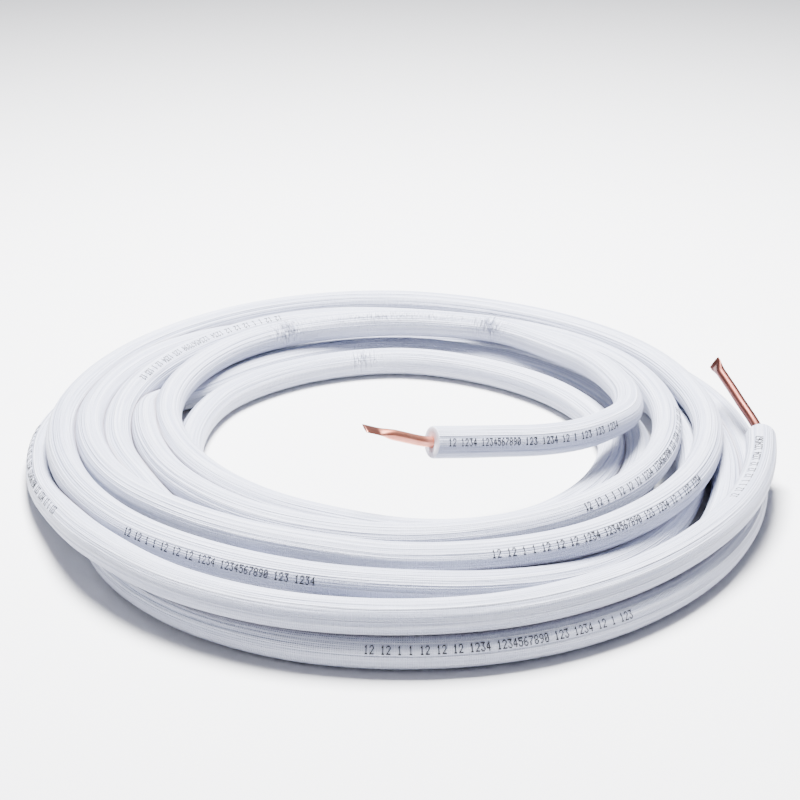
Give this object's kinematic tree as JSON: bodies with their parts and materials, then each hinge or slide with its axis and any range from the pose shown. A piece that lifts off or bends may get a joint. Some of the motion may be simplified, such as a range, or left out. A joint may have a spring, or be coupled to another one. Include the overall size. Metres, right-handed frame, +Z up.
{
  "type": "insulated copper pipe coil",
  "caption": "Loose round coil of copper pipe in a white foam sleeve, with both bare copper ends pinched flat.",
  "frame": {"origin": "middle of the outermost turn, on the floor that the coil lies on", "axes": "+Z up along the axis that the pipe is wound round, +X towards the side of the outer free end, -Y towards the side where the last turn rises over the others"},
  "size_m": [0.912, 0.912, 0.1479],
  "materials": {
    "foam_skin": "matt embossed skin on closed-cell foam",
    "bare_copper": "dull tarnished copper"
  },
  "bodies": {
    "root": {"foam_insulation": "foam_skin", "copper_pipe": "bare_copper"}
  },
  "joints": []
}
